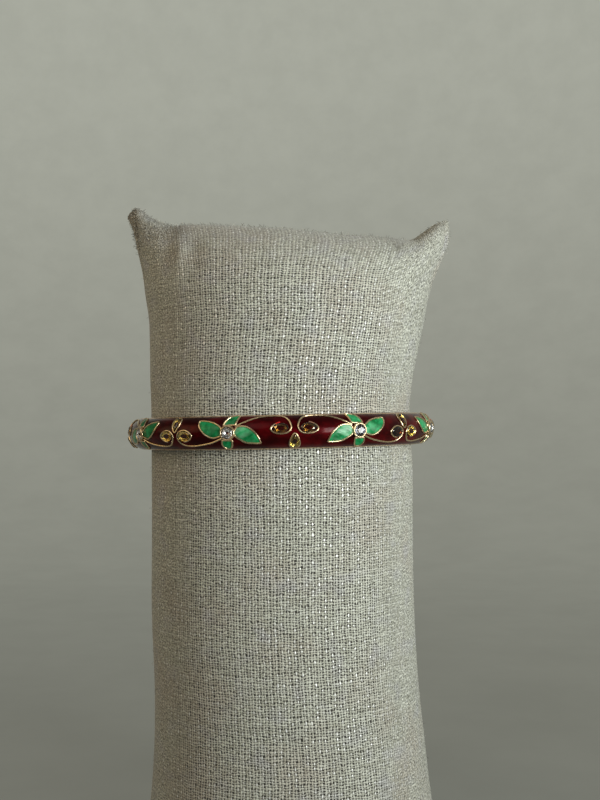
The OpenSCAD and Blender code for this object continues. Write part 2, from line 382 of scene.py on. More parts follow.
# %% Shader group: glaze
glaze, given, out = new_tree("Glaze", "ShaderNodeTree", {
    "Deep": (0, 0, 0, 1), "Bright": (1, 1, 1, 1),
    "Cloud size": 0.003, "Streak": 1.0, "Wave": 0.3,
}, {"Color": "Color", "Cloud": "Float", "Normal": "Vector"})
where = own_place()
per_metre = div(1.0, given["Cloud size"])
squeezed = vec("MULTIPLY", where, vector(1.0, 1.0, given["Streak"]))
cloud = ramp(noise(squeezed, per_metre, 4.0, 0.6), 0.35, 0.68)
ripple = noise(where, mul(per_metre, 1.7), 1.0)
link(tint(cloud, given["Deep"], given["Bright"]), out["Color"])
link(cloud, out["Cloud"])
bump = shade("Bump", {"Strength": given["Wave"], "Distance": 0.0002, "Height": ripple})
link(bump, out["Normal"])
print("group:", glaze.name)

# %% [markdown]
# ## Metal, enamel and stones
# The gilding is pale and slightly pink, a thin wash over copper. The red enamel lets some light
# through to the metal under it, so it glows crimson beside each highlight: a half-metallic, fairly
# rough base under a clear coat gives that glow. The ends of the long tendrils are painted red, a
# painted reflection of the red enamel in the wire. The green enamel is opaque and mottled, with mint
# streaks towards the collars: partly paler enamel where it thins out, partly a painted reflection
# of the soft box. The stones are foil-backed glass, so the crown is clear glass and the facets under
# it are a mirror. No two foils are alike: each stone has a tone of its own, from dull to pale, and
# the tones are also painted light, so a stone that catches little light gets a dull foil and one
# that sparkles a pale one.

# %% Materials for the bangle
def gilding(name, pale, warm, grain, roughness, depth, over=None):
    """Gilt metal, from a paler to a warmer tone; an attribute can lay another colour over it."""
    made, bsdf = finish(name, Metallic=1.0)
    marks = place_group(polish_marks, {"Grain size": grain, "Roughness": roughness, "Depth": depth})
    colour = tint(marks["Tone"], pale, warm)
    if over:
        attribute, second, metallic = over
        share = mark_of(attribute)
        colour = tint(share, colour, second)
        link(lerp(share, 1.0, metallic), bsdf["Metallic"])
    link(colour, bsdf["Base Color"])
    link(marks["Roughness"], bsdf["Roughness"])
    link(marks["Normal"], bsdf["Normal"])
    return made


# the gilt wire is painted red near the ends of the long tendrils: a painted reflection of the red enamel
gilt_wire = gilding("gilt_wire", (0.86, 0.70, 0.47, 1), (0.62, 0.45, 0.26, 1), 0.0007, 0.22, 0.35,
                    over=("stain", (0.75, 0.012, 0.01, 1), 0.15))
gilt_copper = gilding("gilt_copper", (0.88, 0.66, 0.44, 1), (0.72, 0.46, 0.28, 1), 0.0016, 0.24, 0.25)

red_enamel, bsdf = finish(
    "red_enamel", Metallic=0.3, Roughness=0.4, Specular_IOR_Level=0.03,
    Coat_Weight=1.0, Coat_Roughness=0.1, Coat_IOR=1.17)
depths = place_group(glaze, {
    "Deep": (0.024, 0.0002, 0.0006, 1), "Bright": (0.088, 0.0008, 0.0025, 1),
    "Cloud size": 0.0042, "Streak": 1.6, "Wave": 0.25,
})
link(depths["Color"], bsdf["Base Color"])
link(depths["Normal"], bsdf["Normal"])

green_enamel, bsdf = finish(
    "green_enamel", Metallic=0.0, Roughness=0.4, Specular_IOR_Level=0.1,
    Coat_Weight=1.0, Coat_Roughness=0.1, Coat_IOR=1.22)
depths = place_group(glaze, {
    "Deep": (0.001, 0.13, 0.032, 1), "Bright": (0.014, 0.36, 0.12, 1),
    "Cloud size": 0.0017, "Streak": 1.0, "Wave": 0.3,
})
flat_spot = add("ShaderNodeAttribute", attribute_name="flat_spot").outputs["Vector"]
# mint streaks: partly paler enamel, partly a painted reflection of the soft box
mint = mark_of("mint")
turned = shade("VectorRotate", {"Vector": flat_spot, "Angle": -0.5}, rotation_type="Z_AXIS")
long = vec("MULTIPLY", turned, (0.3, 1.0, 1.0))
streaks = ramp(noise(long, 1300.0, 2.0), 0.36, 0.66)
mint_and_reflection_streaks = mul(mint, streaks)
link(tint(mint_and_reflection_streaks, depths["Color"], (0.45, 0.80, 0.56, 1)), bsdf["Base Color"])
link(depths["Normal"], bsdf["Normal"])


def glass(name, dull, bright):
    """The clear crown of a stone, slightly uneven from wear, between two colours by its tone, which is
    partly painted light.
    """
    made, bsdf = finish(name, Transmission_Weight=1.0, IOR=1.6)
    marks = place_group(polish_marks, {"Grain size": 0.0005, "Roughness": 0.02, "Depth": 0.05})
    tone = mark_of("tone")
    link(tint(mul_add(marks["Tone"], -0.1, tone), dull, bright),
                   bsdf["Base Color"])
    link(marks["Roughness"], bsdf["Roughness"])
    return made


clear_glass = glass("clear_stone", (0.70, 0.72, 0.76, 1), (1.0, 1.0, 1.0, 1))
amber_glass = glass("amber_stone", (0.40, 0.14, 0.05, 1), (1.0, 0.90, 0.52, 1))
# the foils go from dull to pale by each stone's tone, which is partly painted light
silver_foil = gilding("silver_foil", (0.50, 0.50, 0.53, 1), (0.38, 0.38, 0.41, 1), 0.0004, 0.16, 0.4,
                      over=("tone", (0.97, 0.97, 0.98, 1), 1.0))
gold_foil = gilding("gold_foil", (0.20, 0.10, 0.03, 1), (0.10, 0.05, 0.015, 1), 0.0004, 0.12, 0.3,
                    over=("tone", (0.97, 0.84, 0.42, 1), 1.0))
print("materials:", len(bpy.data.materials))

# %% [markdown]
# ## Laying flat work round the band
# Wires, petals and stones are all drawn flat first. One node group makes a copy of the flat work
# for each flower, turns every second copy over, as the maker did, and says where each point goes on
# the round band. It puts out the place, the direction outwards and the direction along the band,
# so the same rule carries curves, sheets and loose stones. A point marked as part of a trefoil
# sits half-way to the next flower and is turned over upwards instead of sideways.

# %% Turns of the flowers and trefoils
# The steps between the flowers aren't equal: where short tendrils meet, the flowers sit closer.
back_step = (360 - FRONT_STEP - SHORT_STEP * FLOWERS / 2) / (FLOWERS / 2 - 1)
steps = [FRONT_STEP if k == 0 else SHORT_STEP if k % 2 else back_step for k in range(FLOWERS)]
flower_turns = [FIRST_TURN + sum(steps[:k]) for k in range(FLOWERS)]
trefoil_turns = [turn + step / 2 for turn, step in zip(flower_turns, steps)]
print("flowers at", [round(v, 1) for v in flower_turns], "degrees from the front")


def pick(number, values):
    """The value that a whole number picks from a list."""
    made = add("GeometryNodeIndexSwitch", data_type="FLOAT")
    while len(made.index_switch_items) < len(values):
        made.index_switch_items.new()
    link(number, made.inputs[0])
    for k, value in enumerate(values):
        made.inputs[k + 1].default_value = value
    return made.outputs[0]


# %% Node group: round the band
round_band, given, out = new_tree("Round the band", "GeometryNodeTree", {
    "Flat work": "Geometry", "Flowers": FLOWERS,
    "Band radius": BAND_R, "Section radius": SECTION_R,
}, {
    "Copies": "Geometry", "Position": "Vector", "Outwards": "Vector", "Along": "Vector",
    "Turned over": "Bool", "Side": "Float",
})
seeds = geo("Points", {"Count": given["Flowers"]})
numbered = write(seeds, "flower", geo("InputIndex"), "INT")
laid = geo("InstanceOnPoints", {"Points": numbered, "Instance": given["Flat work"]})
link(geo("RealizeInstances", {0: laid}), out["Copies"])

flower = read("flower", "INT")
trefoil = read("trefoil", "FLOAT")
flat = split(geo("InputPosition"))
hand = minus(1.0, mul(2.0, calc("MODULO", flower, 2.0)))
face_r = plus(given["Band radius"], given["Section radius"])
to_flower, to_trefoil = (
    pick(flower, [math.radians(v) for v in turns]) for turns in (flower_turns, trefoil_turns))
along = div(mul(flat["X"], lerp(trefoil, hand, 1.0)), face_r)
turn = plus(lerp(trefoil, to_flower, to_trefoil), along)
rise = div(mul(flat["Y"], lerp(trefoil, 1.0, hand)), given["Section radius"])
reach = plus(given["Section radius"], flat["Z"])
(sin_turn, cos_turn), (sin_rise, cos_rise) = (
    [calc(wave, a) for wave in ("SINE", "COSINE")] for a in (turn, rise))
ring = mul_add(reach, cos_rise, given["Band radius"])
back = mul(cos_turn, -1.0)
link(vector(mul(ring, sin_turn), mul(ring, back), mul(reach, sin_rise)), out["Position"])
link(vector(mul(cos_rise, sin_turn), mul(cos_rise, back), sin_rise), out["Outwards"])
link(vector(cos_turn, sin_turn, 0.0), out["Along"])
link(func("Compare", {"A": hand, "B": 0.0}, operation="LESS_THAN"), out["Turned over"])
link(lerp(trefoil, 1.0, mul(hand, -1.0)), out["Side"])
print("group:", round_band.name)

# %% Helpers that finish a tree and turn its result into a plain piece
def set_down(geometry, finish_socket, out, **marked):
    """Ends a tree: the bangle is tilted, put on the pillow, made real and given its material.
    Faces that carry a mark get the material of that mark instead."""
    placed = geo("Transform", {
        "Geometry": geometry, "Translation": tuple(BANGLE_AT), "Rotation": (0, -TILT, 0),
    })
    real = geo("RealizeInstances", {0: placed})
    real = geo("SetMaterial", {"Geometry": real, "Material": finish_socket})
    for mark, material in marked.items():
        chosen = read(mark, "BOOLEAN")
        real = geo("SetMaterial", {
            "Geometry": real, "Selection": chosen, "Material": material,
        })
    link(real, out["Geometry"])


def on_band(flat_work):
    """Copies of flat work for all flowers, and their places on the band."""
    return place_group(round_band, {"Flat work": flat_work}, "GeometryNodeGroup")


def set_on_band(spots, along, thing):
    """Sets a thing on each place, turned outwards and lying along the band."""
    facing = func("AxesToRotation", {
        "Primary Axis": spots["Outwards"], "Secondary Axis": along,
    }, primary_axis="Z", secondary_axis="X")
    turned = write(spots["Copies"], "facing", facing, "QUATERNION")
    moved = geo("SetPosition", {"Geometry": turned, "Position": spots["Position"]})
    return geo("InstanceOnPoints", {
        "Points": moved, "Instance": thing, "Rotation": read("facing", "QUATERNION"),
    })


def by_flower(geometry, mark, strengths):
    """Makes a mark stronger or weaker from one flower to the next, as handwork is and as a painted
    reflection falls on some flowers more than others.
    """
    strength = mul(read(mark, "FLOAT"), pick(read("flower", "INT"), strengths))
    return write(geometry, mark, strength, "FLOAT")


def made_real(thing):
    """What an object's modifiers make of it, as a plain mesh."""
    graph = bpy.context.evaluated_depsgraph_get()
    return bpy.data.meshes.new_from_object(
        thing.evaluated_get(graph), preserve_all_data_layers=True, depsgraph=graph)


def make_piece(name, flat_mesh, tree, smooth=True, **values):
    """Runs a tree on flat work and returns its result as a plain mesh object with no modifier."""
    host = show(name + "_flat", flat_mesh)
    runner = host.modifiers.new(tree.name, "NODES")
    runner.node_group = tree
    for item in tree.interface.items_tree:
        key = item.name.replace(" ", "_")
        if item.item_type == "SOCKET" and item.in_out == "INPUT" and key in values:
            runner[item.identifier] = values[key]
    mesh = made_real(host)
    bpy.data.objects.remove(host)
    mesh.name = name
    weld(mesh, 1e-7, turn_faces=True)
    (mesh.shade_smooth if smooth else mesh.shade_flat)()
    triangles = sum(len(face.vertices) - 2 for face in mesh.polygons)
    print(f"{name}: {triangles} triangles, {len(mesh.materials)} material(s)")
    return show(name, mesh)


def each(name, count=FLOWERS):
    """The names of numbered CAD nodes."""
    return [f"{name}_{number}" for number in range(1, count + 1)]


def stand_for(piece, slot, *nodes):
    """The piece rides with the part and hides the CAD nodes it stands for; the slot is not used."""
    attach(piece, "root")
    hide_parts(*nodes)


# %% [markdown]
# ## The copper band and its red enamel
# The band was drawn through rollers and soldered into a ring, and the enamel was fired into its
# channel, ground level and polished. Both are one cross-section carried round a circle, so one tree
# sweeps any closed outline round the band. The fillets that a real edge has are in the outline.

# %% Node tree: a cross-section swept round the band
swept, given, out = new_tree("Swept round", "GeometryNodeTree", {
    "Outline": "Geometry", "Band radius": BAND_R, "Steps": 288,
    "Finish": "Material",
}, {"Geometry": "Geometry"})
outline = geo("MeshToCurve", {"Mesh": given["Outline"]})
path = geo("CurvePrimitiveCircle", {"Resolution": given["Steps"], "Radius": given["Band radius"]})
upright = geo("SetCurveNormal", {"Curve": path}, mode="Z_UP")
set_down(geo("CurveToMesh", {"Curve": upright, "Profile Curve": outline}), given["Finish"], out)


def put_marks(mesh, **marks):
    """Stores a strength for every point under each name."""
    for name, strengths in marks.items():
        mesh.attributes.new(name, "FLOAT", "POINT").data.foreach_set("value", strengths)


def loop_mesh(name, loops, stained=()):
    """Flat work made of lines only. Each loop has its points in mm, whether it is closed, and its
    trefoil mark. Some loops, by number, carry a painted red reflection on their last points."""
    verts, edges, marks, stains = [], [], [], []
    for number, (points, closed, trefoil) in enumerate(loops):
        first = len(verts)
        stains += [float(number in stained and k > len(points) - 13) for k in range(len(points))]
        verts += [(x * MM, y * MM, h * MM) for x, y, h in points]
        marks += [trefoil] * len(points)
        edges += [(first + k, first + k + 1) for k in range(len(points) - 1)]
        if closed:
            edges.append((len(verts) - 1, first))
    mesh = bpy.data.meshes.new(name)
    mesh.from_pydata(verts, edges, [])
    put_marks(mesh, trefoil=marks, stain=stains)
    return mesh


def arc(radius, start, end, count):
    """Points on a circle round the middle of the band's cross-section, angles in degrees."""
    angles = np.radians(np.linspace(start, end, count))
    return [(radius * math.cos(a), radius * math.sin(a), 0) for a in angles]


REACH = math.degrees(ENAMEL_REACH)
enamel_outline = arc(3.5, -REACH + 0.1, REACH - 0.1, 45) + arc(2.93, REACH - 0.5, -REACH + 0.5, 9)
band_outline = (
    [(0.0, -3.2, 0), (0.0, 3.2, 0), (0.06, 3.34, 0), (0.2, 3.4, 0), (0.7, 3.4, 0)]
    + arc(3.5, 76, REACH + 1.2, 5) + arc(3.44, REACH, REACH, 1) + arc(2.88, REACH, -REACH, 21)
    + arc(3.44, -REACH, -REACH, 1) + arc(3.5, -REACH - 1.2, -76, 5)
    + [(0.7, -3.4, 0), (0.2, -3.4, 0), (0.06, -3.34, 0)]
)
for name, slot, node, outline, material in (
    ("copper_band", "gilt_copper", "copper_ring", band_outline, gilt_copper),
    ("red_ground", "red_enamel", "red_enamel", enamel_outline, red_enamel),
):
    flat = loop_mesh(name + "_outline", [(outline, True, 0)])
    stand_for(make_piece(name, flat, swept, Finish=material), slot, node)

# %% [markdown]
# ## Gilt wires and settings
# The maker bent flat wire into petal cells, two curling tendrils and a pear-shaped cell, and
# soldered them down with a round collar for the stone. Here each line is drawn flat as a smooth
# curve through a few points. Petals are given as two sides from base to tip, because both the wire
# round them and the enamel in them follow those sides. The tree lays the lines round the band and
# gives them a round thickness; a round wire half sunk in enamel looks like the rounded tops of the
# real ones, and it needs no turning to stay square on a curved face.

# %% The drawing of one flower, in mm along and up the band
petals = {
    "right": ([(1.3, 0), (1.8, 1.0), (2.7, 1.25), (4.0, 1.05), (5.3, 0.2), (6.2, -0.95), (6.65, -2.15)],
              [(1.3, 0), (1.65, -0.75), (2.5, -1.3), (3.6, -1.95), (5.3, -2.2), (6.65, -2.15)]),
    "left": ([(-1.35, 0.2), (-1.5, 1.0), (-2.9, 1.95), (-4.7, 2.45), (-6.1, 2.6), (-6.66, 2.5)],
             [(-1.35, -0.55), (-3.2, -0.95), (-4.8, -0.35), (-6.0, 0.75), (-6.5, 1.6), (-6.66, 2.5)]),
    "top": ([(-0.95, 1.45), (-0.9, 1.9), (-0.5, 2.75), (0.2, 3.6), (1.3, 4.0), (2.2, 4.1)],
            [(1.55, 1.55), (1.85, 2.8), (2.1, 3.5), (2.2, 4.1)]),
    "foot": ([(-1.3, -1.45), (-1.5, -2.45), (-1.1, -3.3), (-0.3, -3.75)],
             [(0.85, -1.5), (0.65, -2.45), (0.3, -3.2), (-0.3, -3.75)]),
}
tendrils = [
    [(1.55, 1.2), (2.9, 1.9), (4.7, 2.75), (6.5, 3.4), (8.3, 3.67), (10.2, 3.63), (11.3, 3.3),
     (12.15, 2.5), (12.6, 1.5), (12.65, 0.75), (12.2, 0.05), (11.3, -0.25), (10.15, -0.25), (9.2, 0.0),
     (8.7, 0.42), (8.8, 0.95), (9.45, 1.5), (10.2, 1.83), (10.5, 1.9)],
    [(-1.25, -1.0), (-3.1, -1.75), (-4.6, -2.15), (-6.5, -2.5), (-8.5, -2.7), (-10.4, -2.45),
     (-11.5, -1.6), (-11.9, -0.5), (-11.3, 0.35), (-10.1, 0.65), (-9.0, 0.35), (-8.2, -0.4),
     (-8.75, -1.15), (-9.7, -1.55), (-10.3, -1.55)],
]
DROP_MID, DROP_LENGTH, DROP_WIDTH, DROP_TAPER = 1.9, 1.65, 0.98, 0.42


def smooth_line(points, parts=6):
    """A smooth line through the points, in the manner of Catmull and Rom."""
    p = np.array([points[0]] + list(points) + [points[-1]], float)
    made = []
    for a, b, c, d in zip(p[:-3], p[1:-2], p[2:-1], p[3:]):
        for s in np.arange(parts) / parts:
            made.append(0.5 * (2 * b + (c - a) * s + (2 * a - 5 * b + 4 * c - d) * s * s
                               + (3 * b - a - 3 * c + d) * s ** 3))
    return np.array(made + [p[-2]])


def evenly(line, count):
    """The same line with a given number of evenly spaced points."""
    along = np.concatenate([[0], np.cumsum(np.linalg.norm(np.diff(line, axis=0), axis=1))])
    at = np.linspace(0, along[-1], count)
    return np.column_stack([np.interp(at, along, line[:, k]) for k in range(line.shape[1])])


def pear(length, width, count):
    """A pear-shaped loop that hangs down from the band's middle, its tip on top."""
    a = np.linspace(0, 2 * math.pi, count, endpoint=False)
    across = width * np.sin(a) * (1 - DROP_TAPER * np.cos(a))
    return np.column_stack([across, -(DROP_MID - length * np.cos(a))])


def at_height(line, h):
    return [(x, y, h) for x, y in line]


WIRE_R, WIRE_SINK = 0.17, 0.12
flower_lines = []
for left, right in petals.values():
    outline = np.vstack([smooth_line(left), smooth_line(right)[::-1][1:]])
    if np.linalg.norm(outline[0] - outline[-1]) < 1e-6:
        outline = outline[:-1]
    flower_lines.append((at_height(outline, WIRE_SINK), True, 0))
LONG_TENDRIL = len(flower_lines)
flower_lines += [(at_height(smooth_line(line), WIRE_SINK), False, 0) for line in tendrils]
flower_lines.append((at_height(pear(DROP_LENGTH, DROP_WIDTH, 40), WIRE_SINK), True, 1))
print("lines in one flower:", len(flower_lines), "points:", sum(len(line[0]) for line in flower_lines))

# %% Node tree: wires and collars
wires_tree, given, out = new_tree("Gilt wires", "GeometryNodeTree", {
    "Lines": "Geometry", "Wire radius": WIRE_R * MM, "Point spacing": 0.22 * MM,
    "Collar radius": 1.36 * MM, "Collar wall": 0.21 * MM,
    "Collar height": 0.37 * MM, "Finish": "Material",
}, {"Geometry": "Geometry"})
curves = geo("MeshToCurve", {"Mesh": given["Lines"]})
even = geo("ResampleCurve", {"Curve": curves, "Length": given["Point spacing"]}, mode="LENGTH")
band_work = on_band(even)
bent = geo("SetPosition", {"Geometry": band_work["Copies"], "Position": band_work["Position"]})
section = geo("CurvePrimitiveCircle", {"Resolution": 10, "Radius": given["Wire radius"]})
# the painted red reflection is stronger on some flowers than on others
wire_mesh = geo("CurveToMesh", {
    "Curve": by_flower(bent, "stain", [1.0, 0.3, 0.6, 0.9, 0.2, 0.7, 0.5, 0.8]),
    "Profile Curve": section, "Fill Caps": True,
})

ring_path = geo("CurvePrimitiveCircle", {"Resolution": 40, "Radius": given["Collar radius"]})
ring_path = geo("SetCurveNormal", {"Curve": ring_path}, mode="Z_UP")
bead = geo("CurvePrimitiveCircle", {"Resolution": 14, "Radius": 1.0})
bead = geo("Transform", {
    "Geometry": bead, "Scale": vector(given["Collar wall"], given["Collar height"], 1.0),
})
collar = geo("CurveToMesh", {"Curve": ring_path, "Profile Curve": bead})
collar = geo("Transform", {
    "Geometry": collar, "Translation": vector(0.0, 0.0, mul(given["Collar height"], 0.72)),
})
spots = on_band(geo("MeshLine", {"Count": 1}))
both = add("GeometryNodeJoinGeometry")
link(wire_mesh, both.inputs[0])
link(set_on_band(spots, spots["Along"], collar), both.inputs[0])
set_down(both.outputs[0], given["Finish"], out)

flat = loop_mesh("flower_lines", flower_lines, stained=(LONG_TENDRIL,))
wires = make_piece("gilt_wirework", flat, wires_tree, Finish=gilt_wire)
stand_for(wires, "gilt_wire", *each("gilt_wires"))

# %% [markdown]
# ## Green enamel petals
# Each cell was filled with green enamel that stands a little proud of the red and rounds off
# towards its wires. A petal is lofted between its two sides: rows run from base to tip, and
# the height over each row is a low arch. It is closed below, under the red enamel's surface.

# %% Fill the petals
PETAL_EDGE, PETAL_CROWN, PETAL_FLOOR = 0.06, 0.17, -0.08
# how much each petal is painted paler towards its collar: partly thin enamel, partly a painted
# reflection of the soft box
MINT_AND_REFLECTION = {"right": 1.0, "left": 0.3, "top": 0.25, "foot": 0.1}


def petal_mesh(rows=22, columns=9):
    """All four petals of one flower as closed flat shells, with their heights, in metres."""
    verts, faces, pale = [], [], []
    for name, (left, right) in petals.items():
        a, b = evenly(smooth_line(left), rows), evenly(smooth_line(right), rows)
        first = len(verts)
        for layer in (1, 0):
            for r in range(rows):
                for c in range(columns):
                    share = c / (columns - 1)
                    x, y = a[r] * (1 - share) + b[r] * share
                    ends = min(1, 3 * r / rows, 3 * (rows - 1 - r) / rows)
                    arch = (4 * share * (1 - share)) ** 0.6 * ends ** 0.6
                    h = PETAL_EDGE + PETAL_CROWN * arch if layer else PETAL_FLOOR
                    verts.append((x * MM, y * MM, h * MM))
                    pale.append(MINT_AND_REFLECTION[name] * (1 - r / (rows - 1)) ** 1.5 if layer else 0.0)
        size = rows * columns
        top = lambda r, c: first + r * columns + c
        for r in range(rows - 1):
            for c in range(columns - 1):
                quad = (top(r, c), top(r, c + 1), top(r + 1, c + 1), top(r + 1, c))
                faces += [quad, tuple(v + size for v in reversed(quad))]
        rim = [top(0, c) for c in range(columns)] + [top(r, columns - 1) for r in range(1, rows)]
        rim += [top(rows - 1, c) for c in range(columns - 2, -1, -1)]
        rim += [top(r, 0) for r in range(rows - 2, 0, -1)]
        faces += [(p, q, q + size, p + size) for p, q in zip(rim, rim[1:] + rim[:1])]
    mesh = bpy.data.meshes.new("petals_flat")
    mesh.from_pydata(verts, [], faces)
    mesh.attributes.new("trefoil", "FLOAT", "POINT")
    put_marks(mesh, mint=pale)
    mesh.attributes.new("flat_spot", "FLOAT_VECTOR", "POINT").data.foreach_set("vector", np.ravel(verts))
    return mesh


petals_tree, given, out = new_tree("Petals", "GeometryNodeTree", {
    "Flat petals": "Geometry", "Finish": "Material",
}, {"Geometry": "Geometry"})
band_work = on_band(given["Flat petals"])
bent = geo("SetPosition", {"Geometry": band_work["Copies"], "Position": band_work["Position"]})
flipped = geo("FlipFaces", {"Mesh": bent, "Selection": band_work["Turned over"]})
# the mint mark also holds a painted reflection of the soft box, so it is strongest on the front flower
# to the right
flipped = by_flower(flipped, "mint", [0.4, 1.0, 0.5, 0.8, 0.4, 0.9, 0.6, 0.2])
set_down(flipped, given["Finish"], out)

petal_piece = make_piece("green_petals", petal_mesh(), petals_tree, Finish=green_enamel)
stand_for(petal_piece, "green_enamel", *each("green_petals"))

# %% [markdown]
# ## Cut stones
# A brilliant cut is the hull of a few rings of points: the table, a ring half-way down the crown,
# the girdle, a ring under it and the point at the back. So the tree joins those rings, squeezes them to
# an oval or a pear where one is asked for, and wraps them in their convex hull. The facets that
# face back get the foil. The same tree sets the round, oval and pear stones on the band.

# %% Node tree: brilliant stones on the band
stones_tree, given, out = new_tree("Brilliant stones", "GeometryNodeTree", {
    "Places": "Geometry", "Half length": 1.0, "Half width": 1.0,
    "Taper": 0.0, "Table height": 1.0, "Girdle height": 0.5,
    "Back height": 0.05, "Sides": 8, "Glass": "Material", "Foil": "Material",
}, {"Geometry": "Geometry"})
crown = minus(given["Table height"], given["Girdle height"])
depth = minus(given["Girdle height"], given["Back height"])
rings = add("GeometryNodeJoinGeometry")
double = mul(given["Sides"], 2.0)
half_step = div(math.pi, given["Sides"])
for share, height, count, shift in (
    (0.56, plus(given["Girdle height"], crown), given["Sides"], 0.0),
    (0.84, mul_add(crown, 0.62, given["Girdle height"]), given["Sides"], half_step),
    (1.0, given["Girdle height"], double, 0.0),
    (0.985, mul_add(depth, -0.12, given["Girdle height"]), double, 0.0),
    (0.42, mul_add(depth, -0.72, given["Girdle height"]), given["Sides"], half_step),
    (0.02, given["Back height"], given["Sides"], 0.0),
):
    circle = geo("MeshCircle", {"Vertices": count, "Radius": share})
    placed = geo("Transform", {
        "Geometry": circle, "Translation": vector(0.0, 0.0, height), "Rotation": vector(0.0, 0.0, shift),
    })
    link(placed, rings.inputs[0])
spot = split(geo("InputPosition"))
narrow = mul_add(mul(spot["Y"], given["Taper"]), 1.0, 1.0)
wide, long = mul(mul(spot["X"], narrow), given["Half width"]), mul(spot["Y"], given["Half length"])
shaped = geo("SetPosition", {"Geometry": rings.outputs[0], "Position": vector(wide, long, spot["Z"])})
hull = geo("ConvexHull", {0: shaped})
hull = geo("SetShadeSmooth", {"Geometry": hull, "Shade Smooth": False})
normal = split(geo("InputNormal"))["Z"]
is_back = func("Compare", {"A": normal, "B": -0.2}, operation="LESS_THAN")
backed = write(hull, "foiled", is_back, "BOOLEAN", "FACE")
spots = on_band(given["Places"])
sideways = shade("VectorMath", {0: spots["Along"], "Scale": spots["Side"]}, operation="SCALE")
set_down(set_on_band(spots, sideways, backed), given["Glass"], out, foiled=given["Foil"])


def places(name, points, trefoil=0.0):
    """The flat places of some stones on one flower, in mm."""
    return loop_mesh(name, [([(x, y, 0)], False, trefoil) for x, y in points])


def give_foil_and_light_tones(piece, foil_and_light_tones):
    """Each stone's own tone: 0 for a dull dark foil, 1 for a bright pale one. The tones are partly
    painted light: a stone that catches little light is made dull.
    """
    put_marks(piece.data, tone=np.repeat(foil_and_light_tones, len(piece.data.vertices) // len(foil_and_light_tones)))


SIZES = ("Half_length", "Half_width", "Table_height", "Girdle_height", "Back_height")
# the tones listed for the stones are partly painted light: dull for stones that catch little light, pale
# for those that sparkle
for name, slot, spots, in_trefoil, sizes, taper, crown, foil, foil_and_light_tones in (
    ("clear_stone", "clear_stone", [(0, 0)], 0.0,
     (1.17, 1.17, 0.86, 0.52, -0.1), 0.0, clear_glass, silver_foil,
     [1.0, 0.1, 0.8, 0.6, 0.9, 0.7, 0.8, 1.0]),
    ("drop_stone", "amber_stone", [(0, -DROP_MID)], 1.0,
     (1.46, 0.83, 0.48, 0.2, -0.14), DROP_TAPER, amber_glass, gold_foil,
     [0.95, 0.75, 0.6, 0.7, 0.5, 0.7, 0.65, 1.0]),
    ("curl_stone", "amber_stone", [(10.6, 0.8), (-10.08, -0.48)], 0.0,
     (1.0, 1.6, 0.46, 0.2, -0.14), 0.0, amber_glass, gold_foil,
     [0.4, 0.95, 0.4, 0.0, 0.6, 1.0, 0.5, 0.6, 0.45, 0.7, 0.55, 0.4, 0.65, 0.5, 0.65, 0.95]),
):
    in_metres = {key: size * MM for key, size in zip(SIZES, sizes)}
    stones = make_piece(name + "s", places(name + "_places", spots, in_trefoil), stones_tree,
                        smooth=False, Taper=taper, Glass=crown, Foil=foil, **in_metres)
    give_foil_and_light_tones(stones, foil_and_light_tones)
    stand_for(stones, slot, *each(name, FLOWERS * len(spots)))

# %% [markdown]
# ## The linen
# The cover is a coarse open linen with a fine silver thread: from close by it is a grid of dark
# pinholes between soft threads, with stray glints. The weave group works on the cover's own
# map, which is laid out in metres along and across the threads, so it follows the cloth round the
# pillow and up into the corners. Warp and weft are two rows of round threads that pass over and under
# each other; where both are low there is a hole. Threads lie in pairs, so wide and narrow gaps take
# turns. It puts out the thread's colour share, the holes, the glints and a height for the bump.

# %% Shader group: open weave
weave, given, out = new_tree("Open weave", "ShaderNodeTree", {
    "Vector": "Vector", "Warp pitch": 0.00064, "Weft pitch": 0.00055,
    "Pairing": 0.055, "Wobble": 0.0005, "Glints": 0.5,
}, {"Tone": "Float", "Hole": "Float", "Glint": "Float", "Height": "Float"})
cloth = given["Vector"]
# the threads drift over a few pitches, and the weft is also beaten in unevenly from thread to thread
for scale, reach in ((260.0, (1.0, 1.0, 1.0)), (760.0, (0.35, 1.8, 1.0))):
    drift = add("ShaderNodeTexNoise", {
        "Vector": given["Vector"], "Scale": scale, "Detail": 1.0,
    }).outputs[1]
    drift = vec("SUBTRACT", drift, (0.5, 0.5, 0.5))
    drift = vec("MULTIPLY", drift, reach)
    drift = shade("VectorMath", {0: drift, "Scale": given["Wobble"]}, operation="SCALE")
    cloth = vec("ADD", cloth, drift)
cloth = split(cloth)
across, up = div(cloth["X"], given["Warp pitch"]), div(cloth["Y"], given["Weft pitch"])
warp_no, weft_no = calc("FLOOR", across), calc("FLOOR", up)


def in_thread(place, number, pairing):
    """How far a place is from its thread's middle, where threads lie in pairs, and which of a pair
    it is."""
    second = calc("FLOORED_MODULO", number, 2.0)
    shift = mul(mul_add(second, 2.0, -1.0), pairing)
    return plus(minus(minus(place, number), 0.5), shift), second


in_warp, second_warp = in_thread(across, warp_no, given["Pairing"])
in_weft, _ = in_thread(up, weft_no, given["Pairing"])
warp_tone = shade("TexWhiteNoise", {"W": warp_no}, noise_dimensions="1D")
weft_tone = shade("TexWhiteNoise", {"W": plus(weft_no, 0.37)}, noise_dimensions="1D")
crossing = shade("TexWhiteNoise", {"Vector": vector(warp_no, weft_no, 0.0)}, noise_dimensions="2D")
over = minus(1.0, mul(2.0, calc("FLOORED_MODULO", plus(warp_no, weft_no), 2.0)))


def thread(offset, thickness, along, lift):
    """The height of a round thread that rises and dips as it crosses the others."""
    share = div(offset, thickness)
    round_top = calc("SQRT", calc("MAXIMUM", minus(1.0, mul(share, share)), 0.0))
    wave = mul(calc("COSINE", mul(along, math.pi)), lift)
    return mul(round_top, mul_add(wave, 0.3, 0.7))


